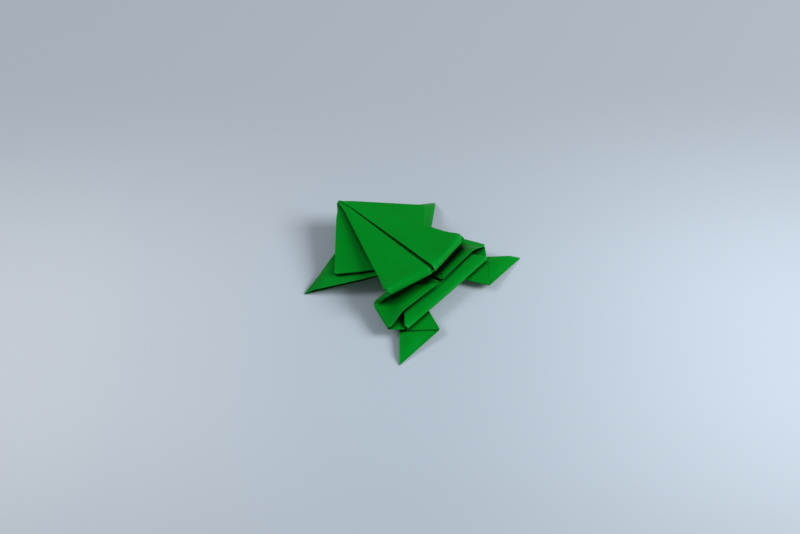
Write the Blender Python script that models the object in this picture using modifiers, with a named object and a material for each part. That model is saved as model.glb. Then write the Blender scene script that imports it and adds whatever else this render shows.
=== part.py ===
"""An origami jumping frog, folded from one rectangle of green paper twice as long as it is wide.

The fold, in the order in which it is made:
  a waterbomb base at each end of the sheet, so that the two ends mirror each other;
  the four loose flaps folded along the diagonals to the two points, then out again as legs;
  the tail point folded up onto the back along the tail fold;
  the two sides of the back folded to the middle from the nose, which meet at the centre slit;
  a pleat across the back, which is the spring.
Every facet of the crease pattern is a flat polygon, given where it lies in the flat-folded frog, with
the number of its layer: 0 is the back, lower numbers lie under it and higher ones on it. Two facets
that share a crease are joined there by a rounded bend. The stack of layers is then bent through the
pleat, and the legs are opened until their tips stand on the table.
Lengths are in metres. X is to the frog's right, Y is towards its nose and Z is up. The flat fold has
its origin at the middle of the sheet, which ends up in the pleat. The finished frog has its origin on
the table, under the middle of the frog.
"""

import math

import bmesh
import bpy
import numpy as np
from mathutils import Matrix
from mathutils.geometry import delaunay_2d_cdt

SHEET_WIDTH = 0.075
PAPER = 0.0001
LAYER_PITCH = 0.00015

# The pleat: the sheet wraps round an upper circle, runs straight and wraps round a lower circle. The
# upper tangent is where on the flat sheet the first wrap begins. The rear of the frog lies where a
# sharp pleat of this width would put it.
BACK_HEIGHT = 0.0102
PLEAT_WIDTH = 0.0073
LOWER_FOLD_AHEAD = 0.0028
LOWER_FOLD_HEIGHT = 0.0039
UPPER_RADIUS = 0.0007
LOWER_RADIUS = 0.0012
UPPER_TANGENT = 0.0006
PLEAT_LINES = 18

# How the hand-folded frog sits. Angles are in degrees, with -1 for the left side and 1 for the right.
NOSE_LIFT = 0.7
HEAD_ROLL = -0.8
SQUARE_DROOP = {-1: 12.4, 1: 5.4}
REAR_TURN = 4.8
REAR_PITCH = 2.4
FRONT_LEG_FOLD = 26.0
REAR_LEG_FOLD = 24.3
FRONT_FLAP_OPEN = {-1: 7.5, 1: 6.5}
REAR_FLAP_OPEN = {-1: 0.6, 1: 0.4}

# Where the springy paper stands off the layers below it, or away from the middle.
SLIT_HALF = 0.0007
SPINE_HALF = 0.00022
WING_OPEN = 2.5
WING_RISE = 0.0027
ROLL_RISE = 0.0013
LEG_SPLAY = 0.0011
SPLAY_TIP_WAY = 0.0024
SPLAY_FOLD_WAY = 0.0090
ROLL_START_SHARE = 0.35

# Clearances: at the blunt nose, at raw edges that meet, and where folds meet at one corner.
NOSE_CUT = 0.0005
SQUARE_NOSE_CUT = 0.0003
EDGE_GAP = 0.00012
CORNER_TRIM = 0.0003
FRONT_CLEAR = 0.0044
REAR_CLEAR = 0.0034

HALF = SHEET_WIDTH / 2
KITE = math.tan(math.radians(22.5))
SAME = 1e-6


def turn_about(axis, degrees):
    """The rotation matrix about an axis through the origin, by Rodrigues' formula."""
    k = np.asarray(axis, float) / np.linalg.norm(axis)
    cross = np.array([[0, -k[2], k[1]], [k[2], 0, -k[0]], [-k[1], k[0], 0]])
    a = math.radians(degrees)
    return np.eye(3) + math.sin(a) * cross + (1 - math.cos(a)) * cross @ cross


def smooth(u):
    """0 below 0, 1 above 1, and a smooth rise between."""
    u = min(max(u, 0.0), 1.0)
    return u * u * (3 - 2 * u)


# The places of the flat-folded frog, on its right side.
NOSE = (0.0, HALF)
CENTRE = (0.0, 0.0)
BACK_CORNER = (KITE * HALF, 0.0)
WING_CORNER = ((2 - math.sqrt(2)) * HALF, (1 - math.sqrt(2)) * HALF)
WING_END = (0.0, (1 - math.sqrt(2)) * HALF)
SQUARE_CORNER = (HALF / 2, HALF / 2)
TAIL_CORNER = (HALF / 2, -HALF / 2)
TAIL_MIDDLE = (0.0, -HALF / 2)


def leg_points(fold_degrees, end):
    """The shoulder and tip of a leg folded out along a line through the centre; end is 1 at the front."""
    a = math.radians(fold_degrees)
    reach = HALF / (math.sin(a) + math.cos(a))
    shoulder = (reach * math.sin(a), end * reach * math.cos(a))
    tip = (HALF * math.sin(2 * a), end * HALF * math.cos(2 * a))
    return shoulder, tip


FRONT_SHOULDER, FRONT_TIP = leg_points(FRONT_LEG_FOLD, 1)
REAR_SHOULDER, REAR_TIP = leg_points(REAR_LEG_FOLD, -1)

HEAD_TURN = turn_about((1, 0, 0), NOSE_LIFT) @ turn_about((0, 1, 0), HEAD_ROLL)
HEAD_AT = np.array([0.0, 0.0, BACK_HEIGHT])
TAIL_TURN = turn_about((0, 0, 1), REAR_TURN) @ turn_about((1, 0, 0), REAR_PITCH)
LOWER_FOLD_AT = np.array([0.0, LOWER_FOLD_AHEAD, LOWER_FOLD_HEIGHT])


def head_line(x, y):
    return HEAD_AT + HEAD_TURN @ np.array([x, y, 0.0])


def rear_line(x, y):
    return LOWER_FOLD_AT + TAIL_TURN @ np.array([x, y + PLEAT_WIDTH, 0.0])


def unit(v):
    return v / np.linalg.norm(v)


def way_at(angle):
    """The direction in the side view, Y and Z, at an angle from +Y."""
    return np.array([math.cos(angle), math.sin(angle)])


def right_of(way):
    return np.array([way[1], -way[0]])


def fold_circles(x, last_y):
    """The pleat in the side view at x: both circle centres, and the angles of head, pleat and rear."""
    first, last = head_line(x, UPPER_TANGENT), rear_line(x, last_y)
    head_angle = math.atan2(-HEAD_TURN[2, 1], -HEAD_TURN[1, 1]) % math.tau
    rear_angle = math.atan2(-TAIL_TURN[2, 1], -TAIL_TURN[1, 1]) % math.tau
    upper = first[1:] - UPPER_RADIUS * right_of(way_at(head_angle))
    lower = last[1:] + LOWER_RADIUS * right_of(way_at(rear_angle))
    between = lower - upper
    both = UPPER_RADIUS + LOWER_RADIUS
    straight = math.sqrt(np.dot(between, between) - both**2)
    pleat_angle = (math.atan2(between[1], between[0]) + math.atan2(both, straight)) % math.tau
    return upper, lower, straight, head_angle, pleat_angle, rear_angle


def wrap_lengths(x, last_y):
    """The lengths of the upper wrap, the straight run and the lower wrap at x."""
    _, _, straight, head_angle, pleat_angle, rear_angle = fold_circles(x, last_y)
    return UPPER_RADIUS * (pleat_angle - head_angle), straight, LOWER_RADIUS * (pleat_angle - rear_angle)


def lower_tangent(x):
    """Where on the sheet the lower wrap ends at x, by halving: the pleat neither stretches nor shrinks."""
    low, high = UPPER_TANGENT - 3 * PLEAT_WIDTH, UPPER_TANGENT - 0.6 * PLEAT_WIDTH
    for _ in range(40):
        middle = (low + high) / 2
        if UPPER_TANGENT - middle > sum(wrap_lengths(x, middle)):
            low = middle
        else:
            high = middle
    return low


LOWER_TANGENT = lower_tangent(0.0)
LOWER_TANGENT_SLOPE = (lower_tangent(0.3 * HALF) - lower_tangent(-0.3 * HALF)) / (0.6 * HALF)


def wrap_shares():
    """The shares of the pleat's path at which the upper wrap ends and the lower wrap begins."""
    upper_length, straight, lower_length = wrap_lengths(0.0, LOWER_TANGENT)
    length = upper_length + straight + lower_length
    return upper_length / length, 1 - lower_length / length


UPPER_SHARE, LOWER_SHARE = wrap_shares()


def back_line(x, y):
    """The middle layer at (x, y) of the flat fold: head, upper fold, pleat, lower fold and rear.

    In the side view the sheet leaves the head line, turns round the upper circle until it points along
    the line that touches both circles, follows that line and turns back round the lower circle onto the
    rear line. The length on the sheet between the two tangents is spread evenly over that path.
    """
    last_y = LOWER_TANGENT + LOWER_TANGENT_SLOPE * x
    if y >= UPPER_TANGENT:
        return head_line(x, y)
    if y <= last_y:
        return rear_line(x, y)
    upper, lower, _, head_angle, pleat_angle, rear_angle = fold_circles(x, last_y)
    share = (UPPER_TANGENT - y) / (UPPER_TANGENT - last_y)
    first_x, last_x = head_line(x, UPPER_TANGENT)[0], rear_line(x, last_y)[0]
    across_x = first_x + (last_x - first_x) * share
    off = right_of(way_at(pleat_angle))
    if share < UPPER_SHARE:
        angle = head_angle + (pleat_angle - head_angle) * share / UPPER_SHARE
        at = upper + UPPER_RADIUS * right_of(way_at(angle))
    elif share < LOWER_SHARE:
        start, end = upper + UPPER_RADIUS * off, lower - LOWER_RADIUS * off
        at = start + (end - start) * (share - UPPER_SHARE) / (LOWER_SHARE - UPPER_SHARE)
    else:
        turned = (pleat_angle - rear_angle) * (share - LOWER_SHARE) / (1 - LOWER_SHARE)
        at = lower - LOWER_RADIUS * right_of(way_at(pleat_angle - turned))
    return np.array([across_x, at[0], at[1]])


def back_point(x, y, rise):
    """The point that stands off the middle layer by rise, along its normal."""
    step = 2e-5
    along_x = back_line(x + step, y) - back_line(x - step, y)
    along_y = back_line(x, y + step) - back_line(x, y - step)
    return back_line(x, y) + rise * unit(np.cross(along_x, along_y))


def wing_edge(y):
    """How far the fold of the wing lies from the middle, at y."""
    return KITE * (HALF - y)


def aside(x, side, gap, outer):
    """Moves the inner edge of a facet off the middle by gap, and leaves its outer edge in place."""
    gap = min(gap, 0.6 * max(outer, 0.0))
    return x + side * gap * (1 - min(abs(x) / max(outer, SAME), 1))


def spring(y):
    """How far the layers behind the pleat have sprung open at y, from 0 to 1."""
    start = -LOWER_TANGENT + 0.0007
    return smooth((-y - start) / (0.41 * HALF - start))


def wing_lift(x, y):
    """The wing climbs over the tucked tail point, and springs up from its fold towards the middle."""
    over = 4 * LAYER_PITCH * smooth((0.14 * HALF - y) / (0.12 * HALF))
    inward = 1 - abs(x) / wing_edge(y)
    hinged = math.tan(math.radians(WING_OPEN)) * inward * wing_edge(y) * math.cos(math.atan(KITE))
    return over + hinged * smooth(y / (0.17 * HALF)) + WING_RISE * spring(y) * smooth(inward / 0.3)


def splay(x, y, shoulder, tip):
    """How far the inner layer of a leg springs off the outer one, away from the folds at its two sides."""
    run, fold = np.subtract(tip, shoulder), np.array(shoulder)
    off = np.array([abs(x), y])
    from_tip_fold = abs((off[0] - shoulder[0]) * run[1] - (off[1] - shoulder[1]) * run[0]) / np.linalg.norm(run)
    from_leg_fold = abs(off[0] * fold[1] - off[1] * fold[0]) / np.linalg.norm(fold)
    near_tip_fold = min(from_tip_fold / SPLAY_TIP_WAY, 1.0)
    return LEG_SPLAY * near_tip_fold * min(from_leg_fold / SPLAY_FOLD_WAY, 1.0)


def tuck_lift(y):
    """The tucked tail point springs up from the tail fold, under the wings."""
    from_fold = smooth((y + HALF / 2) / (0.09 * HALF))
    return ROLL_RISE * spring(y) * (ROLL_START_SHARE + (1 - ROLL_START_SHARE) * from_fold)


def on_back(layer, side=0, gap=0.0, outer=wing_edge, lift=None):
    """A layer of the back, pleat and rear."""

    def place(x, y):
        rise = layer * LAYER_PITCH
        if lift:
            rise += lift(x, y)
        return back_point(aside(x, side, gap, outer(y)), y, rise)

    return place


def on_rear_flap(layer, side, leg_open):
    """A layer of a rear flap, which hangs open from its fold, and of the leg folded out from it."""
    a = math.radians(REAR_LEG_FOLD)

    def place(x, y):
        fade = smooth((-y - 0.0082) / (0.3 * HALF))
        into_flap = (-y - abs(x)) / math.sqrt(2)
        drop = math.tan(math.radians(REAR_FLAP_OPEN[side])) * into_flap
        if leg_open is not None:
            out = abs(x) * math.cos(a) + y * math.sin(a)
            drop += math.tan(math.radians(leg_open)) * out
            if layer == -6:
                drop -= splay(x, y, REAR_SHOULDER, REAR_TIP)
        return back_point(x, y, layer * LAYER_PITCH - fade * drop)

    return place


def on_square(layer, side=0, gap=0.0):
    """A layer of the square under the head, whose two halves droop from the spine."""

    def place(x, y):
        half = side or (1 if x >= 0 else -1)
        x = aside(x, side, gap, min(y, HALF - y))
        droop = math.radians(SQUARE_DROOP[half])
        down = abs(x) * math.sin(droop)
        return HEAD_AT + HEAD_TURN @ np.array([x * math.cos(droop), y, layer * LAYER_PITCH - down])

    return place


def on_front_flap(layer, side, leg_open):
    """A layer of a front flap, hinged at the edge of the square, and of the leg folded out from it."""
    a = math.radians(FRONT_LEG_FOLD)
    flap_hinge = np.array([0, 0, -3.5 * LAYER_PITCH])
    leg_hinge = np.array([0, 0, -5.5 * LAYER_PITCH])
    flap_turn = turn_about((side, 1, 0), -side * FRONT_FLAP_OPEN[side])
    leg_turn = turn_about((side * math.sin(a), math.cos(a), 0), side * (leg_open or 0.0))
    droop = turn_about((0, 1, 0), side * SQUARE_DROOP[side])

    def place(x, y):
        p = np.array([x, y, layer * LAYER_PITCH])
        if leg_open is not None:
            if layer == -6:
                p[2] += splay(x, y, FRONT_SHOULDER, FRONT_TIP)
            p = leg_turn @ (p - leg_hinge) + leg_hinge
        p = flap_turn @ (p - flap_hinge) + flap_hinge
        return HEAD_AT + HEAD_TURN @ droop @ p

    return place


def open_to_table(make, side, tip):
    """The angle, by halving, to which a leg is opened so that the tip of its outer layer is at height 0."""
    low, high = 0.0, 60.0
    for _ in range(30):
        middle = (low + high) / 2
        if make(-7, side, middle)(side * tip[0], tip[1])[2] > 0:
            low = middle
        else:
            high = middle
    return low


def clip(outline, point, normal):
    """The part of a convex outline on the side of a line that the normal points to."""
    kept = []
    heights = [(p[0] - point[0]) * normal[0] + (p[1] - point[1]) * normal[1] for p in outline]
    for i, (p, h) in enumerate(zip(outline, heights)):
        q, k = outline[i - 1], heights[i - 1]
        if (h > SAME) != (k > SAME):
            t = k / (k - h)
            kept.append((q[0] + t * (p[0] - q[0]), q[1] + t * (p[1] - q[1])))
        if h > SAME:
            kept.append(p)
    return kept


def across(points):
    """A polygon over both sides, from the points of its right side in order."""
    return points + [(-x, y) for x, y in reversed(points) if x > SAME]


def raw_line_normal():
    """The direction across the raw edges that meet on the wing, towards the nose."""
    run = np.array(WING_END) - np.array(BACK_CORNER)
    return unit(np.array([run[1], -run[0]])) * -1


def facets():
    """name -> (outline in the flat fold, place function, what else bends it: the wing's lift or the spine)."""
    ahead = raw_line_normal()
    ahead = ahead if ahead[1] > 0 else -ahead
    raw_front = (BACK_CORNER[0] + ahead[0] * EDGE_GAP, BACK_CORNER[1] + ahead[1] * EDGE_GAP)
    raw_rear = (BACK_CORNER[0] - ahead[0] * EDGE_GAP, BACK_CORNER[1] - ahead[1] * EDGE_GAP)
    nose_cut = ((0, HALF - NOSE_CUT), (0, -1))
    square_cut = ((0, HALF - SQUARE_NOSE_CUT), (0, -1))
    front_clear = ((0, FRONT_CLEAR), (0, 1))
    rear_clear = ((0, -REAR_CLEAR), (0, -1))
    found = {}

    def add(name, outline, place, *cuts, bent=""):
        for cut in cuts:
            outline = clip(outline, *cut)
        found[name] = (outline, place, bent)

    def tuck(x, y):
        return tuck_lift(y)

    spread = [NOSE, WING_CORNER, TAIL_CORNER]
    add("back", across(spread), on_back(0), nose_cut)
    add("belly", across([NOSE, SQUARE_CORNER, CENTRE]), on_square(-3), square_cut, front_clear, bent="spine")
    add("rear_belly", across([CENTRE, TAIL_CORNER]), on_back(-3), rear_clear)
    add("tuck_back", across([CENTRE, TAIL_CORNER]), on_back(1, lift=tuck), ((0, -EDGE_GAP), (0, -1)))
    add("tuck_belly", across([CENTRE, TAIL_CORNER]), on_back(4, lift=tuck), ((0, -EDGE_GAP), (0, -1)))
    for side, label in ((-1, "left"), (1, "right")):

        def both(name, points, place, *cuts, bent=""):
            for cut in cuts:
                points = clip(points, *cut)
            outline = [(side * x, y) for x, y in points]
            found[f"{name}_{label}"] = (outline, place, bent)

        def beside(y):
            return abs(y)

        front_open = open_to_table(on_front_flap, side, FRONT_TIP)
        rear_open = open_to_table(on_rear_flap, side, REAR_TIP)
        both("wing", [NOSE, WING_CORNER, WING_END],
             on_back(1, side, SLIT_HALF, lift=wing_lift), nose_cut, bent="wing")
        both("cover", [NOSE, BACK_CORNER, WING_END],
             on_back(2, side, SLIT_HALF, lift=wing_lift), nose_cut, (raw_front, ahead), bent="wing")
        both("rear_cover", [BACK_CORNER, WING_CORNER, WING_END],
             on_back(2, side, SLIT_HALF, lift=wing_lift), (raw_rear, -ahead), bent="wing")
        both("lining", [NOSE, BACK_CORNER, CENTRE],
             on_back(-1, side, SPINE_HALF), nose_cut, ((0, EDGE_GAP), (0, 1)))
        both("rear_lining", [CENTRE, BACK_CORNER, WING_CORNER, TAIL_CORNER, TAIL_MIDDLE],
             on_back(-1, side, SPINE_HALF), ((0, -EDGE_GAP), (0, -1)))
        both("square", [NOSE, SQUARE_CORNER, CENTRE], on_square(-2, side, SPINE_HALF),
             square_cut, front_clear)
        both("front_flap_outer", [CENTRE, SQUARE_CORNER, FRONT_SHOULDER],
             on_front_flap(-4, side, None), front_clear)
        both("front_flap_inner", [CENTRE, SQUARE_CORNER, FRONT_SHOULDER],
             on_front_flap(-5, side, None), front_clear)
        both("front_leg_inner", [CENTRE, FRONT_SHOULDER, FRONT_TIP],
             on_front_flap(-6, side, front_open), front_clear, bent="front leg " + label)
        both("front_leg_outer", [CENTRE, FRONT_SHOULDER, FRONT_TIP],
             on_front_flap(-7, side, front_open), front_clear, bent="front leg " + label)
        both("rear_square", [CENTRE, TAIL_CORNER, TAIL_MIDDLE],
             on_back(-2, side, SPINE_HALF, outer=beside), rear_clear)
        both("tuck_lining", [CENTRE, TAIL_CORNER, TAIL_MIDDLE],
             on_back(2, side, SPINE_HALF, outer=beside, lift=tuck), ((0, -EDGE_GAP), (0, -1)))
        both("tuck_square", [CENTRE, TAIL_CORNER, TAIL_MIDDLE],
             on_back(3, side, SPINE_HALF, outer=beside, lift=tuck), ((0, -EDGE_GAP), (0, -1)))
        both("rear_flap_outer", [CENTRE, TAIL_CORNER, REAR_SHOULDER],
             on_rear_flap(-4, side, None), rear_clear)
        both("rear_flap_inner", [CENTRE, TAIL_CORNER, REAR_SHOULDER],
             on_rear_flap(-5, side, None), rear_clear)
        both("rear_leg_inner", [CENTRE, REAR_SHOULDER, REAR_TIP],
             on_rear_flap(-6, side, rear_open), rear_clear, bent="rear leg " + label)
        both("rear_leg_outer", [CENTRE, REAR_SHOULDER, REAR_TIP],
             on_rear_flap(-7, side, rear_open), rear_clear, bent="rear leg " + label)
    return found


def creases():
    """(facet, facet, one end, other end), where the bend bulges to the right of the way between the ends."""
    found = []
    for side, label in ((-1, "left"), (1, "right")):

        def fold(a, b, start, end):
            names = [n if n in ("back", "belly", "rear_belly", "tuck_back", "tuck_belly") else f"{n}_{label}"
                     for n in (a, b)]
            found.append((*names, (side * start[0], start[1]), (side * end[0], end[1])))

        fold("back", "wing", NOSE, WING_CORNER)
        fold("lining", "cover", NOSE, BACK_CORNER)
        fold("rear_lining", "rear_cover", BACK_CORNER, WING_CORNER)
        fold("wing", "cover", NOSE, WING_END)
        fold("wing", "rear_cover", WING_CORNER, WING_END)
        fold("back", "rear_lining", WING_CORNER, TAIL_CORNER)
        fold("square", "lining", NOSE, CENTRE)
        fold("belly", "square", NOSE, SQUARE_CORNER)
        fold("belly", "front_flap_outer", CENTRE, SQUARE_CORNER)
        fold("square", "front_flap_inner", CENTRE, SQUARE_CORNER)
        fold("front_flap_outer", "front_flap_inner", SQUARE_CORNER, FRONT_SHOULDER)
        fold("front_flap_inner", "front_leg_inner", CENTRE, FRONT_SHOULDER)
        fold("front_flap_outer", "front_leg_outer", CENTRE, FRONT_SHOULDER)
        fold("front_leg_outer", "front_leg_inner", FRONT_SHOULDER, FRONT_TIP)
        fold("rear_square", "rear_lining", CENTRE, TAIL_MIDDLE)
        fold("rear_belly", "rear_flap_outer", CENTRE, TAIL_CORNER)
        fold("rear_square", "rear_flap_inner", CENTRE, TAIL_CORNER)
        fold("rear_flap_outer", "rear_flap_inner", TAIL_CORNER, REAR_SHOULDER)
        fold("rear_flap_inner", "rear_leg_inner", CENTRE, REAR_SHOULDER)
        fold("rear_flap_outer", "rear_leg_outer", CENTRE, REAR_SHOULDER)
        fold("rear_leg_outer", "rear_leg_inner", REAR_SHOULDER, REAR_TIP)
        fold("rear_lining", "tuck_lining", TAIL_MIDDLE, TAIL_CORNER)
        fold("rear_square", "tuck_square", TAIL_MIDDLE, TAIL_CORNER)
        fold("tuck_lining", "tuck_square", TAIL_MIDDLE, CENTRE)
        fold("tuck_back", "tuck_lining", TAIL_CORNER, CENTRE)
        fold("tuck_square", "tuck_belly", TAIL_CORNER, CENTRE)
    tail_left = (-TAIL_CORNER[0], TAIL_CORNER[1])
    found.append(("back", "tuck_back", tail_left, TAIL_CORNER))
    found.append(("rear_belly", "tuck_belly", tail_left, TAIL_CORNER))
    return found


def guide_lines(bent):
    """Lines on the flat fold at which a facet is divided, so that it can bend: (point, direction)."""
    lines = []
    for y in (0.14, 0.09, 0.045, -0.24, -0.28, -0.33, -0.37, float(WING_END[1] / HALF), -0.455, -0.56):
        lines.append(((0.0, y * HALF), (1.0, 0.0)))
    for share in np.linspace(0, 1, PLEAT_LINES):
        y = UPPER_TANGENT + float(share) * (LOWER_TANGENT - UPPER_TANGENT)
        lines.append(((0.0, y), (1.0, float(share) * float(LOWER_TANGENT_SLOPE))))
    if bent == "wing":
        for inward in (0.08, 0.16, 0.24, 0.32, 0.62):
            foot = (1 - inward) * KITE
            lines += [(NOSE, (foot, -1.0)), (NOSE, (-foot, -1.0))]
    if bent == "spine":
        lines.append((CENTRE, (0.0, 1.0)))
    for end, shoulder, tip in (("front", FRONT_SHOULDER, FRONT_TIP), ("rear", REAR_SHOULDER, REAR_TIP)):
        for side, label in ((-1, "left"), (1, "right")):
            if bent == f"{end} leg {label}":
                inner = np.array([side * shoulder[0], shoulder[1]])
                outer = np.array([side * tip[0], tip[1]])
                along_tip, along_fold = unit(outer - inner), unit(inner)
                off_tip = unit(inner * -1 - along_tip * np.dot(inner * -1, along_tip))
                off_fold = unit(outer - along_fold * np.dot(outer, along_fold))
                for share in (0.5, 1.0):
                    at = inner + off_tip * share * SPLAY_TIP_WAY
                    lines.append((tuple(at), tuple(along_tip)))
                    lines.append((tuple(off_fold * share * SPLAY_FOLD_WAY), tuple(along_fold)))
    return lines


def fans(way):
    """Whether a guide line fans out from the nose."""
    return way[1] == -1.0


def edge_params(outline, start, end):
    """The stretch of the line from start to end that an outline's corners on it cover, from 0 to 1."""
    start, end = np.array(start), np.array(end)
    run = end - start
    length = np.linalg.norm(run)
    shares = []
    for p in outline:
        off = np.array(p) - start
        if abs(off[0] * run[1] - off[1] * run[0]) / length < 10 * SAME:
            shares.append(float(np.dot(off, run)) / length**2)
    return min(shares), max(shares)


def crease_points(a, b, start, end):
    """The points along a crease that both facets have, from one trimmed end to the other."""
    first, last = 0.0, 1.0
    for outline, _, _ in (a, b):
        low, high = edge_params(outline, start, end)
        first, last = max(first, low), min(last, high)
    start, run = np.array(start), np.array(end) - np.array(start)
    trim = CORNER_TRIM / np.linalg.norm(run)
    first, last = first + trim, last - trim
    shares = {round(first, 9), round(last, 9)}
    lines = {line for kind in (a[2], b[2]) for line in guide_lines(kind)}
    for point, way in sorted(lines):
        cross = run[0] * way[1] - run[1] * way[0]
        if abs(cross) > SAME * 1e-3:
            off = np.array(point) - start
            t = (off[0] * way[1] - off[1] * way[0]) / cross
            if fans(way) and start[1] + t * run[1] > -0.2 * HALF:
                continue
            if first + trim / 4 < t < last - trim / 4:
                shares.add(round(float(t), 9))
    return [tuple(start + t * run) for t in sorted(shares)]


def chord(outline, point, way):
    """The stretch of a line inside a convex outline, or None."""
    low, high = -1.0, 1.0
    for i, p in enumerate(outline):
        q = outline[i - 1]
        edge = (p[0] - q[0], p[1] - q[1])
        middle = (sum(c[0] for c in outline) / len(outline), sum(c[1] for c in outline) / len(outline))
        normal = (-edge[1], edge[0])
        if (middle[0] - q[0]) * normal[0] + (middle[1] - q[1]) * normal[1] < 0:
            normal = (edge[1], -edge[0])
        size = math.hypot(*normal)
        if size < SAME:
            continue
        h = ((point[0] - q[0]) * normal[0] + (point[1] - q[1]) * normal[1]) / size
        s = (way[0] * normal[0] + way[1] * normal[1]) / size
        if abs(s) < 1e-9:
            if h < 2 * SAME:
                return None
        elif s > 0:
            low = max(low, -h / s)
        else:
            high = min(high, -h / s)
    if high - low < 20 * SAME:
        return None
    return [(point[0] + t * way[0], point[1] + t * way[1]) for t in (low, high)]


def divided(outline, bent, extra):
    """The facet as triangles: points on the flat fold, and three indices each."""
    chords = []
    for point, way in guide_lines(bent):
        ends = chord(outline, point, way)
        if ends and fans(way):
            ends.sort(key=lambda p: p[1])
            top = -0.2 * HALF
            if ends[0][1] > top:
                continue
            if ends[1][1] > top:
                t = (top - ends[0][1]) / (ends[1][1] - ends[0][1])
                ends[1] = (ends[0][0] + t * (ends[1][0] - ends[0][0]), top)
        if ends:
            chords.append(ends)
    on_rim = list(extra)
    for ends in chords:
        on_rim += [e for e in ends if all(math.dist(e, q) > 5 * SAME for q in on_rim + outline)]
    ring = []
    for i, q in enumerate(outline):
        p = outline[(i + 1) % len(outline)]
        length = math.dist(p, q)
        on_edge = []
        for e in on_rim:
            t = ((e[0] - q[0]) * (p[0] - q[0]) + (e[1] - q[1]) * (p[1] - q[1])) / length**2
            off = abs((e[0] - q[0]) * (p[1] - q[1]) - (e[1] - q[1]) * (p[0] - q[0])) / length
            if off < 3 * SAME and SAME / length < t < 1 - SAME / length:
                on_edge.append((t, e))
        ring.append(q)
        ring += [e for _, e in sorted(on_edge)]
    points = list(ring)
    edges = []
    for ends in chords:
        pair = []
        for e in ends:
            near = [i for i, q in enumerate(points) if math.dist(e, q) <= 5 * SAME]
            if not near:
                near = [len(points)]
                points.append(e)
            pair.append(near[0])
        if pair[0] != pair[1]:
            edges.append(tuple(pair))
    made = delaunay_2d_cdt(points, edges, [list(range(len(ring)))], 1, 2e-7)
    return [tuple(v) for v in made[0]], [tuple(f) for f in made[2]]


def outward(outline, start, end):
    """The direction across a crease, away from the facet."""
    run = np.array(end) - np.array(start)
    normal = unit(np.array([run[1], -run[0]]))
    middle = np.mean(np.array(outline), axis=0)
    return -normal if np.dot(normal, middle - np.array(start)) > 0 else normal


def bend_rows(a, b, normal, points):
    """Rows of points along the rounded bend between two facets, as cubic curves tangent to both."""
    step = 1e-5
    ends = []
    for outline, place, _ in (a, b):
        at = np.array([place(*p) for p in points])
        beyond = np.array([place(*(np.array(p) + step * normal)) for p in points])
        way = beyond - at
        ends.append((at, way / np.linalg.norm(way, axis=1)[:, None]))
    (start, out), (end, back) = ends
    gap = np.linalg.norm(end - start, axis=1)[:, None] * 2 / 3
    steps = 3 if float(gap.max()) < 1.6 * LAYER_PITCH else 4
    rows = []
    for u in np.linspace(0, 1, steps + 1)[1:-1]:
        v = 1 - u
        rows.append(v**3 * start + 3 * v * v * u * (start + gap * out)
                    + 3 * v * u * u * (end + gap * back) + u**3 * end)
    return rows


def sheet_mesh():
    """The middle surface of the folded sheet: every facet, and the bends that join them."""
    patches = facets()
    joints = creases()
    shared = {name: [] for name in patches}
    strips = []
    for a, b, start, end in joints:
        points = crease_points(patches[a], patches[b], start, end)
        shared[a] += points
        shared[b] += points
        strips.append((a, b, start, end, points))
    vertices, faces, index = [], [], {}
    for name, (outline, place, bent) in patches.items():
        flat, triangles = divided(outline, bent, shared[name])
        for i, p in enumerate(flat):
            index[name, round(p[0] * 2e5), round(p[1] * 2e5)] = len(vertices) + i
        faces += [tuple(len(vertices) + i for i in t) for t in triangles]
        vertices += [place(*p) for p in flat]

    def corner(name, p):
        x, y = round(p[0] * 2e5), round(p[1] * 2e5)
        for dx in (0, -1, 1):
            for dy in (0, -1, 1):
                if (name, x + dx, y + dy) in index:
                    return index[name, x + dx, y + dy]
        raise ValueError(f"{name} has no corner at {p}")

    for a, b, start, end, points in strips:
        normal = outward(patches[a][0], start, end)
        rows = [[corner(a, p) for p in points]]
        for row in bend_rows(patches[a], patches[b], normal, points):
            rows.append(list(range(len(vertices), len(vertices) + len(points))))
            vertices += list(row)
        rows.append([corner(b, p) for p in points])
        for one, two in zip(rows, rows[1:]):
            for i in range(len(points) - 1):
                faces.append((one[i], one[i + 1], two[i + 1], two[i]))
    return vertices, faces


def paper_material():
    material = bpy.data.materials.new("green paper")
    material.use_nodes = True
    shader = material.node_tree.nodes["Principled BSDF"]
    shader.inputs["Base Color"].default_value = (0.002, 0.24, 0.03, 1)
    shader.inputs["Roughness"].default_value = 0.7
    shader.inputs["Metallic"].default_value = 0.0
    return material


def stand(frog):
    """Moves the mesh so that the origin is on the table, under the middle of the frog."""
    solid = frog.evaluated_get(bpy.context.evaluated_depsgraph_get()).data
    at = np.array([v.co for v in solid.vertices])
    low, high = at.min(axis=0), at.max(axis=0)
    frog.data.transform(Matrix.Translation((-(low[0] + high[0]) / 2, -(low[1] + high[1]) / 2, -low[2])))


def main():
    for obj in list(bpy.data.objects):
        bpy.data.objects.remove(obj, do_unlink=True)
    collection = bpy.data.collections.new("origami frog")
    bpy.context.scene.collection.children.link(collection)
    vertices, faces = sheet_mesh()
    mesh = bpy.data.meshes.new("folded_sheet")
    mesh.from_pydata([tuple(v) for v in vertices], [], faces)
    shape = bmesh.new()
    shape.from_mesh(mesh)
    bmesh.ops.recalc_face_normals(shape, faces=shape.faces)
    shape.to_mesh(mesh)
    shape.free()
    mesh.update()
    frog = bpy.data.objects.new("folded_frog", mesh)
    collection.objects.link(frog)
    mesh.materials.append(paper_material())
    wall = frog.modifiers.new("paper thickness", "SOLIDIFY")
    wall.thickness = PAPER
    wall.offset = 0.0
    stand(frog)


main()
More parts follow.
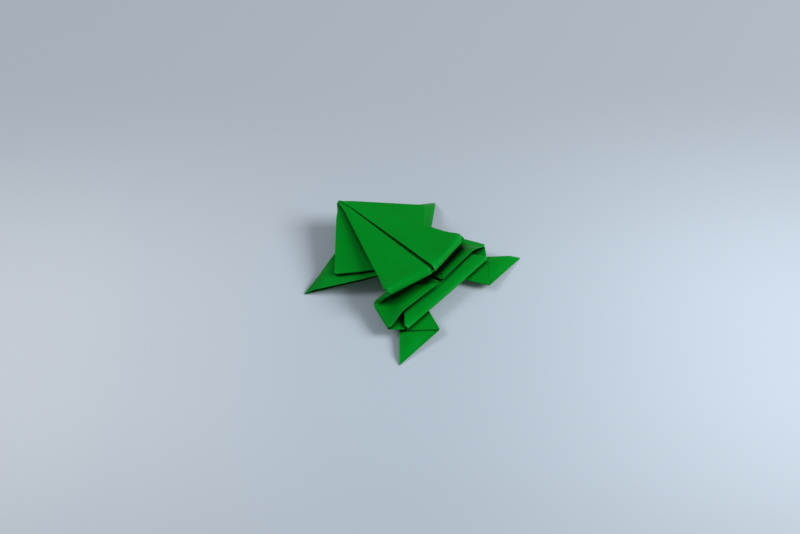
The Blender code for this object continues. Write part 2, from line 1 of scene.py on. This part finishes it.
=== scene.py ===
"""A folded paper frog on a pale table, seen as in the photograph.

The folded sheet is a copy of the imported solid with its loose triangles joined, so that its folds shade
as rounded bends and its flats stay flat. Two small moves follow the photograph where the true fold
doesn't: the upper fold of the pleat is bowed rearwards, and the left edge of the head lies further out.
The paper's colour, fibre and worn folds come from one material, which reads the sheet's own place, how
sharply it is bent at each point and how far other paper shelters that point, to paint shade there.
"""

import math

import bpy
import numpy as np
from mathutils import Matrix, Vector
from mathutils.bvhtree import BVHTree


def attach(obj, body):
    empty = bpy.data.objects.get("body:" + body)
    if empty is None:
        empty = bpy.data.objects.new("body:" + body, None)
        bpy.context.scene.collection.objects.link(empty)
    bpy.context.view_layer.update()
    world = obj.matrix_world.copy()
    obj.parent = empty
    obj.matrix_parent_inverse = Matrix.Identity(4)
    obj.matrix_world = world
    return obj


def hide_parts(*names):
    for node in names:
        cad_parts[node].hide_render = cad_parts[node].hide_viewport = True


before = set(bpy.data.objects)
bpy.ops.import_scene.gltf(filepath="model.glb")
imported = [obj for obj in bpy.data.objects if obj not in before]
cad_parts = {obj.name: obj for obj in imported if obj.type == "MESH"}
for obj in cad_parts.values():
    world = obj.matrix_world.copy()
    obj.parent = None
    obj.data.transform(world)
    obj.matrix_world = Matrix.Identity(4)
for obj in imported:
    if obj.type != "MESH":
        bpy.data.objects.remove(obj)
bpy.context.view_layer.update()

MM = 0.001
PHOTO_WIDTH = 800

# The camera, fitted to the frog's corners in the photograph. Lengths are in metres from the middle of
# the flat fold, which lies FOLD_MIDDLE from the frame's origin.
FOLD_MIDDLE = Vector((-0.00078, -0.01013, 0.00005))
CAMERA_TURN = -0.776
CAMERA_ELEVATION = 0.8306
CAMERA_DISTANCE = 0.434
CAMERA_FOCAL_PIXELS = 1434.9
AXIS_RIGHT_PIXELS = 24.14
AXIS_DOWN_PIXELS = 19.86
SENSOR_WIDTH = 36
CLIP_START = 0.01

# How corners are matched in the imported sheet, and the least length that a normal is divided by.
JOIN_STEP = 1e-6
TINY = 1e-18

# How far the upper fold is bowed: at the slit, over the paper from BOW_LOW up and BOW_REACH ahead.
BOW = 3.1 * MM
BOW_REACH = 11.0 * MM
BOW_LOW = 6.0 * MM
BOW_FULL = 9.2 * MM
FOLD_HALF_WIDTH = 15.5 * MM

# How far the left edge of the head lies outside the true fold, ahead of the pleat and above EDGE_LOW.
EDGE_SHIFT = (-0.75 * MM, 0.15 * MM)
EDGE_LOW = 2.0 * MM
EDGE_START = 5.0 * MM
EDGE_BLEND = 3.0 * MM
NOSE_AHEAD = 37.5 * MM
NOSE_BLEND = 5.0 * MM
SIDE_FOLD_SLOPE = math.tan(math.radians(22.5))

# The longest edges of the drawn triangles: everywhere, and where the shelter changes by SHELTER_STEP
# between a corner that is more open than SHELTER_OPEN and the next one.
COARSE_EDGE = 2.2 * MM
EVEN_ROUNDS = 6
FINE_EDGE = 0.5 * MM
FINE_ROUNDS = 4
SHELTER_STEP = 0.15
SHELTER_OPEN = 0.6

# The rays that measure shelter: rings of (degrees off the normal, number of rays), how far they reach,
# and how many millimetres above the paper they start.
SHELTER_RINGS = ((20, 4), (52, 8))
SHELTER_REACH = 3.0 * MM
SHELTER_LIFT = 0.02

# The drop of a cosine that counts as a full bend, the angle from which an edge is drawn hard, and how
# much the large flats outweigh the bends beside them.
FULL_BEND = 0.3
HARD_EDGE = math.radians(62)
FLAT_WEIGHT = 70

# The dyed paper: its noise sizes, colours, painted shade colour, bumps and weak tinted gloss.
FIBRE_SIZE = 0.35 * MM
CLOUD_SIZE = 7 * MM
SWELL_SIZE = 14 * MM
PAPER_DARK = "#00841A"
PAPER_LIGHT = "#008B20"
FLECK = "#06902C"
WORN = "#2FB060"
WORN_SHARE = 0.2
# Painted shade: the near black that the colour darkens to where other paper shelters it.
PAINTED_SHADE_COLOUR = "#000C02"
SWELL_STRENGTH = 0.35
SWELL_HEIGHT = 0.25 * MM
FIBRE_STRENGTH = 0.30
FIBRE_HEIGHT = 0.02 * MM
PAPER_ROUGHNESS = 0.46
PAPER_IOR = 1.47
PAPER_GLOSS = 0.27
GLOSS_TINT = "#10FF90"

# The table's painted pool of light: its colours, and its paler band, which runs BAND_NEARER this side of
# the origin, is full within BAND_INSIDE of its middle and gone at BAND_OUTSIDE. Its two ends are reached
# at BAND_END.
TABLE_MIDDLE_PAINTED_LIGHT = "#BFCDDA"
TABLE_LEFT_PAINTED_LIGHT = "#D5DCE5"
TABLE_RIGHT_PAINTED_LIGHT = "#D8E6F3"
TABLE_FAR_PAINTED_SHADE = "#B7C1CC"
TABLE_ROUGHNESS = 0.55
TABLE_GLOSS = 0.2
TABLE_REACH = 3.0
BAND_NEARER = 32 * MM
BAND_INSIDE = 10 * MM
BAND_OUTSIDE = 125 * MM
BAND_END = 120 * MM

# Each lamp's name, its place in metres to the right, ahead and up, its size in metres and its watts.
LAMPS = (
    ("lamp right", (1.0, -0.15, 0.78), 0.6, 13.5),
    ("lamp left", (-0.9, 0.1, 0.9), 0.5, 4.6),
)
ROOM_COLOUR = "#F2F5F8"
ROOM_STRENGTH = 0.24


def linear(code):
    """An sRGB hex colour as linear RGBA: the sRGB curve undone for each channel."""
    srgb = np.array([int(code[i : i + 2], 16) for i in (1, 3, 5)]) / 255
    value = np.where(srgb <= 0.04045, srgb / 12.92, ((srgb + 0.055) / 1.055) ** 2.4)
    return (*value.tolist(), 1.0)


def smooth(u):
    """0 below 0, 1 above 1, and a smooth rise between."""
    u = np.clip(u, 0, 1)
    return u * u * (3 - 2 * u)


def joined_sheet(source):
    """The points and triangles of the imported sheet, joined where their corners meet.

    Corners are rounded to JOIN_STEP and equal ones become one point. A triangle that keeps fewer than
    three corners is dropped.
    """
    mesh = source.data
    at = np.empty(len(mesh.vertices) * 3)
    mesh.vertices.foreach_get("co", at)
    corners = np.empty(len(mesh.polygons) * 3, dtype=np.int64)
    mesh.polygons.foreach_get("vertices", corners)
    keys = np.round(at.reshape(-1, 3) / JOIN_STEP).astype(np.int64)
    _, first, inverse = np.unique(keys, axis=0, return_index=True, return_inverse=True)
    faces = inverse.reshape(-1)[corners].reshape(-1, 3)
    a, b, c = faces.T
    return at.reshape(-1, 3)[first], faces[(a != b) & (b != c) & (a != c)]


def face_normals(points, faces):
    """Each triangle's normal, as long as twice its area."""
    a, b, c = (points[faces[:, i]] for i in range(3))
    return np.cross(b - a, c - a)


def unit(vectors):
    """The vectors made one long."""
    return vectors / np.maximum(np.linalg.norm(vectors, axis=1, keepdims=True), TINY)


def point_normals(points, faces, facing):
    """The unit normal at each point: the normals given for its triangles, added up."""
    total = np.zeros_like(points)
    for i in range(3):
        np.add.at(total, faces[:, i], facing)
    return unit(total)


def bend_sharpness(points, faces):
    """How sharply the paper is bent at each point, from 0 on a flat to 1 at a tight fold or a cut edge.

    It is one minus the smallest cosine between the point's mean normal and its triangles' normals,
    over FULL_BEND.
    """
    facing = unit(face_normals(points, faces))
    mean = point_normals(points, faces, facing)
    least = np.ones(len(points))
    for i in range(3):
        np.minimum.at(least, faces[:, i], np.sum(facing * mean[faces[:, i]], axis=1))
    return np.clip((1 - least) / FULL_BEND, 0, 1)


def split_edges(points, faces, is_cut):
    """Halves every edge that is_cut says, so that neighbouring triangles still share their corners."""
    ends = np.sort(np.concatenate([faces[:, (0, 1)], faces[:, (1, 2)], faces[:, (2, 0)]]), axis=1)
    edges = np.unique(ends, axis=0)
    cut = edges[is_cut(edges)]
    halves = {(a, b): len(points) + i for i, (a, b) in enumerate(cut.tolist())}
    points = np.concatenate([points, points[cut].mean(axis=1)])
    made = []
    for face in faces.tolist():
        a, b, c = face
        middle = [halves.get((min(p, q), max(p, q))) for p, q in ((a, b), (b, c), (c, a))]
        count = 3 - middle.count(None)
        if count == 0:
            made.append(face)
            continue
        if count == 3:
            made += [(a, middle[0], middle[2]), (b, middle[1], middle[0]), (c, middle[2], middle[1])]
            made.append(middle)
            continue
        while middle[0] is None or (count == 2 and middle[1] is None):
            a, b, c = b, c, a
            middle = middle[1:] + middle[:1]
        if count == 1:
            made += [(a, middle[0], c), (middle[0], b, c)]
        else:
            made += [(middle[0], b, middle[1]), (a, middle[0], middle[1]), (a, middle[1], c)]
    return points, np.array(made)


def longer(points, edges, length):
    """Which edges are longer than a length."""
    return np.linalg.norm(points[edges[:, 0]] - points[edges[:, 1]], axis=1) > length


def evenly_divided(points, faces):
    """The sheet with its edges halved until they are no longer than COARSE_EDGE."""
    for _ in range(EVEN_ROUNDS):
        points, faces = split_edges(points, faces, lambda edges: longer(points, edges, COARSE_EDGE))
    return points, faces


def with_bowed_fold(points):
    """The sheet with the upper fold of the pleat bowed rearwards in the middle, as the photograph shows.

    The paper above BOW_LOW moves rearwards, most at the slit and not at all at the side folds. The
    triangles follow the move only roughly, so pressed layers inside the pleat cross in places.
    """
    x, y, z = (points - np.array(FOLD_MIDDLE)).T
    near_slit = np.clip(1 - np.abs(x) / FOLD_HALF_WIDTH, 0, 1)
    near_fold = smooth(1 - y / BOW_REACH)
    high = smooth((z - BOW_LOW) / (BOW_FULL - BOW_LOW))
    moved = points.copy()
    moved[:, 1] -= BOW * near_slit * near_fold * high
    return moved


def with_wide_head(points):
    """The sheet with the left edge of its head moved out, where the hand fold is wider than the true one.

    The paper outside the left side fold moves, and the nose with it, but not the foot on the table.
    """
    x, y, z = (points - np.array(FOLD_MIDDLE)).T
    side_fold = SIDE_FOLD_SLOPE * (NOSE_AHEAD - y)
    outside = smooth((-x - side_fold) / EDGE_BLEND)
    nose = smooth((y - NOSE_AHEAD + NOSE_BLEND) / NOSE_BLEND) * smooth(1 - x / EDGE_BLEND)
    high = smooth((z - EDGE_LOW) / EDGE_BLEND)
    share = np.maximum(outside, nose) * high * smooth((y - EDGE_START) / EDGE_BLEND)
    moved = points.copy()
    moved[:, 0] += EDGE_SHIFT[0] * share
    moved[:, 1] += EDGE_SHIFT[1] * share
    return moved


def ray_fan():
    """The directions of the rays about +Z, ring by ring."""
    fan = []
    for ring, count in SHELTER_RINGS:
        tilt = math.radians(ring)
        for i in range(count):
            turn = math.tau * (i + 0.5) / count
            fan.append(Vector((
                math.cos(turn) * math.sin(tilt),
                math.sin(turn) * math.sin(tilt),
                math.cos(tilt),
            )))
    return fan


def shelter(points, normals, tree):
    """How much of the sky over each point other paper hides from it, from 0 to 1.

    Rays leave in a fixed fan about the normal, denser near it. Paper within SHELTER_REACH hides a ray.
    """
    fan = ray_fan()
    found = []
    for point, normal in zip(points.tolist(), normals.tolist()):
        normal = Vector(normal)
        turned = normal.to_track_quat("Z", "Y")
        start = Vector(point) + normal * SHELTER_LIFT * MM
        hidden = sum(tree.ray_cast(start, turned @ way, SHELTER_REACH)[0] is not None for way in fan)
        found.append(hidden / len(fan))
    return np.array(found)


def at_edge_of_shade(points, hidden, edges):
    """Which edges lead from open paper into sheltered paper and are longer than FINE_EDGE."""
    ends = hidden[edges]
    least = ends.min(axis=1)
    changes = ends.max(axis=1) - least > SHELTER_STEP
    return longer(points, edges, FINE_EDGE) & changes & (least < SHELTER_OPEN)


def finely_divided(points, faces):
    """The sheet with its triangles halved where its shelter changes, and the shelter at each point."""
    tree = BVHTree.FromPolygons(points.tolist(), faces.tolist())
    hidden = shelter(points, point_normals(points, faces, face_normals(points, faces)), tree)
    for _ in range(FINE_ROUNDS):
        before = len(points)
        points, faces = split_edges(points, faces, lambda edges: at_edge_of_shade(points, hidden, edges))
        normals = point_normals(points, faces, face_normals(points, faces))
        hidden = np.concatenate([hidden, shelter(points[before:], normals[before:], tree)])
    return points, faces, hidden


def add_attribute(mesh, name, values):
    """Stores one number at each point of a mesh."""
    made = mesh.attributes.new(name, "FLOAT", "POINT")
    made.data.foreach_set("value", values.astype(np.float32))


def paper_sheet(cad):
    """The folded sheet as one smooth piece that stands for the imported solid."""
    points, faces = evenly_divided(*joined_sheet(cad))
    points, faces, hidden = finely_divided(with_wide_head(with_bowed_fold(points)), faces)
    mesh = bpy.data.meshes.new("folded_green_sheet")
    mesh.from_pydata(points.tolist(), [], faces.tolist())
    add_attribute(mesh, "bend", bend_sharpness(points, faces))
    # The shelter is the mask of the shade painted into the folds.
    add_attribute(mesh, "shelter", hidden)
    mesh.shade_smooth()
    mesh.set_sharp_from_angle(angle=HARD_EDGE)
    sheet = bpy.data.objects.new("folded_green_sheet", mesh)
    bpy.context.scene.collection.objects.link(sheet)
    flat = sheet.modifiers.new("flats stay flat", "WEIGHTED_NORMAL")
    flat.keep_sharp = True
    flat.weight = FLAT_WEIGHT
    return sheet


def node(tree, kind, links=None, **settings):
    """Adds a node, sets its properties and inputs by name, and links other nodes' outputs to it."""
    made = tree.nodes.new(kind)
    for name, value in settings.items():
        if hasattr(made, name):
            setattr(made, name, value)
        else:
            made.inputs[name.replace("_", " ")].default_value = value
    for name, source in (links or {}).items():
        tree.links.new(source, made.inputs[name])
    return made


def ramp(tree, source, *stops):
    """A colour ramp over (position, grey level) stops."""
    made = node(tree, "ShaderNodeValToRGB", {"Fac": source})
    band = made.color_ramp
    while len(band.elements) < len(stops):
        band.elements.new(0.5)
    for element, (position, level) in zip(band.elements, stops):
        element.position = position
        element.color = (level, level, level, 1)
    return made.outputs["Color"]


def noise(tree, place, size, detail, roughness):
    """Smooth noise with spots of about a size, in metres."""
    made = node(tree, "ShaderNodeTexNoise", {"Vector": place}, Scale=1 / size, Detail=detail,
                Roughness=roughness)
    return made.outputs["Fac"]


def product(tree, first, second):
    """One output times another output or a number."""
    made = node(tree, "ShaderNodeMath", {0: first}, operation="MULTIPLY")
    if isinstance(second, float):
        made.inputs[1].default_value = second
    else:
        tree.links.new(second, made.inputs[1])
    return made.outputs[0]


def blend(tree, share, first, second):
    """The colour first, a code or an output, turned into the code second by a share of it."""
    made = node(tree, "ShaderNodeMixRGB", {"Fac": share}, Color2=linear(second))
    if isinstance(first, str):
        made.inputs["Color1"].default_value = linear(first)
    else:
        tree.links.new(first, made.inputs["Color1"])
    return made.outputs[0]


def along(tree, place, direction):
    """How far a place lies along a direction, in metres."""
    made = node(tree, "ShaderNodeVectorMath", {0: place}, operation="DOT_PRODUCT")
    made.inputs[1].default_value = direction
    return made.outputs["Value"]


def rise(tree, source, start, end):
    """A smooth rise from 0 where the source is start to 1 where it is end."""
    made = node(tree, "ShaderNodeMapRange", {"Value": source}, From_Min=start, From_Max=end,
                interpolation_type="SMOOTHSTEP")
    return made.outputs[0]


def new_material(name):
    """An empty material with its node tree, its shader and the Object coordinates."""
    material = bpy.data.materials.new(name)
    material.use_nodes = True
    tree = material.node_tree
    place = node(tree, "ShaderNodeTexCoord").outputs["Object"]
    return material, tree, tree.nodes["Principled BSDF"], place


def dyed_paper_and_painted_shade():
    """Coloured origami paper, machine made and dyed green through.

    It has a weak gloss tinted green. Fibres make a fine tooth, drawn coarser than real ones so that
    they show at this distance. The flats undulate slightly, creases and cut edges are rubbed paler, and
    shade is painted in, darkening the colour where other paper lies close over it.
    """
    material, tree, shader, place = new_material("dyed green paper with painted shade")
    tooth = noise(tree, place, FIBRE_SIZE, 3.0, 0.6)
    cloud = noise(tree, place, CLOUD_SIZE, 2.0, 0.5)
    swell = noise(tree, place, SWELL_SIZE, 1.0, 0.4)
    bend = node(tree, "ShaderNodeAttribute", attribute_name="bend").outputs["Fac"]
    hidden = node(tree, "ShaderNodeAttribute", attribute_name="shelter").outputs["Fac"]

    creased = ramp(tree, bend, (0.12, 0.0), (0.75, 1.0))
    rubbed = product(tree, creased, ramp(tree, tooth, (0.35, 0.25), (0.65, 1.0)))
    body = blend(tree, ramp(tree, cloud, (0.3, 0.0), (0.7, 1.0)), PAPER_DARK, PAPER_LIGHT)
    flecked = blend(tree, ramp(tree, tooth, (0.45, 0.0), (0.8, 0.4)), body, FLECK)
    dyed = blend(tree, product(tree, rubbed, WORN_SHARE), flecked, WORN)
    # Painted shade: the colour darkens towards near black where other paper shelters the point.
    painted_shade = blend(tree, ramp(tree, hidden, (0.15, 0.0), (0.6, 0.96)), dyed, PAINTED_SHADE_COLOUR)
    tree.links.new(painted_shade, shader.inputs["Base Color"])

    coarse = node(tree, "ShaderNodeBump", {"Height": swell}, Strength=SWELL_STRENGTH,
                  Distance=SWELL_HEIGHT)
    fine = node(tree, "ShaderNodeBump", {"Height": tooth, "Normal": coarse.outputs[0]},
                Strength=FIBRE_STRENGTH, Distance=FIBRE_HEIGHT)
    tree.links.new(fine.outputs[0], shader.inputs["Normal"])
    shader.inputs["Roughness"].default_value = PAPER_ROUGHNESS
    shader.inputs["IOR"].default_value = PAPER_IOR
    shader.inputs["Specular IOR Level"].default_value = PAPER_GLOSS
    shader.inputs["Specular Tint"].default_value = linear(GLOSS_TINT)
    return material


def view_directions():
    """The level directions to the camera's right and away from it."""
    turn = CAMERA_TURN
    return Vector((math.cos(turn), math.sin(turn), 0)), Vector((-math.sin(turn), math.cos(turn), 0))


def table_top():
    """Smooth pale blue-grey laminate.

    It is painted a little paler in a wide band across the frog, most so at its two ends, bluer to the
    right
    and darker beyond the band: a painted pool of soft window light. The changes are slow and read the
    floor's own place.
    """
    material, tree, shader, place = new_material("pale grey laminate")
    right, ahead = view_directions()
    sideways = along(tree, place, right)
    from_band = node(tree, "ShaderNodeMath", {0: along(tree, place, ahead)}, operation="ADD")
    from_band.inputs[1].default_value = BAND_NEARER
    away = node(tree, "ShaderNodeMath", {0: from_band.outputs[0]}, operation="ABSOLUTE").outputs[0]

    # Painted light: the table is painted paler in the band and at its two ends, and darker beyond it.
    left = blend(tree, rise(tree, sideways, 0.0, -BAND_END), TABLE_MIDDLE_PAINTED_LIGHT, TABLE_LEFT_PAINTED_LIGHT)
    band = blend(tree, rise(tree, sideways, 0.0, BAND_END), left, TABLE_RIGHT_PAINTED_LIGHT)
    top = blend(tree, rise(tree, away, BAND_INSIDE, BAND_OUTSIDE), band, TABLE_FAR_PAINTED_SHADE)
    tree.links.new(top, shader.inputs["Base Color"])
    shader.inputs["Roughness"].default_value = TABLE_ROUGHNESS
    shader.inputs["Specular IOR Level"].default_value = TABLE_GLOSS
    return material


def floor(material):
    """The table top, level with the frame's floor and wider than any view shows."""
    reach = TABLE_REACH
    mesh = bpy.data.meshes.new("table")
    corners = [(-reach, -reach, 0), (reach, -reach, 0), (reach, reach, 0), (-reach, reach, 0)]
    mesh.from_pydata(corners, [], [(0, 1, 2, 3)])
    mesh.materials.append(material)
    table = bpy.data.objects.new("table", mesh)
    bpy.context.scene.collection.objects.link(table)


def softbox(name, at, size, watts):
    """A white square area lamp at a place, turned to the origin."""
    light = bpy.data.lights.new(name, "AREA")
    light.shape = "SQUARE"
    light.size = size
    light.energy = watts
    lamp = bpy.data.objects.new(name, light)
    turned = (-at).to_track_quat("-Z", "Y").to_matrix().to_4x4()
    lamp.matrix_world = Matrix.Translation(at) @ turned
    bpy.context.scene.collection.objects.link(lamp)


def lighting():
    """Two large soft lamps, above on either side, and an even pale surround."""
    right, ahead = view_directions()
    for name, (to_right, onward, height), size, watts in LAMPS:
        softbox(name, to_right * right + onward * ahead + Vector((0, 0, height)), size, watts)
    world = bpy.data.worlds.new("pale room")
    bpy.context.scene.world = world
    world.use_nodes = True
    shade = world.node_tree.nodes["Background"]
    shade.inputs["Color"].default_value = linear(ROOM_COLOUR)
    shade.inputs["Strength"].default_value = ROOM_STRENGTH


def camera():
    """The photograph's camera: position, direction and frame offset of the fit."""
    tilt = CAMERA_ELEVATION
    right, ahead = view_directions()
    look = math.cos(tilt) * ahead - Vector((0, 0, math.sin(tilt)))
    up = math.sin(tilt) * ahead + Vector((0, 0, math.cos(tilt)))
    eye = FOLD_MIDDLE - CAMERA_DISTANCE * look
    lens = bpy.data.cameras.new("camera")
    lens.sensor_fit = "HORIZONTAL"
    lens.sensor_width = SENSOR_WIDTH
    lens.lens = CAMERA_FOCAL_PIXELS / PHOTO_WIDTH * SENSOR_WIDTH
    lens.shift_x = -AXIS_RIGHT_PIXELS / PHOTO_WIDTH
    lens.shift_y = AXIS_DOWN_PIXELS / PHOTO_WIDTH
    lens.clip_start = CLIP_START
    held = bpy.data.objects.new("camera", lens)
    held.matrix_world = Matrix((
        (right.x, up.x, -look.x, eye.x),
        (right.y, up.y, -look.y, eye.y),
        (right.z, up.z, -look.z, eye.z),
        (0, 0, 0, 1),
    ))
    bpy.context.scene.collection.objects.link(held)
    bpy.context.scene.camera = held


def main():
    """Builds the camera, the sheet, the table and the lights."""
    camera()
    sheet = paper_sheet(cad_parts["folded_frog"])
    sheet.data.materials.append(dyed_paper_and_painted_shade())
    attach(sheet, "root")
    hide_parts("folded_frog")
    floor(table_top())
    lighting()
    bpy.context.scene.view_settings.view_transform = "Standard"


main()
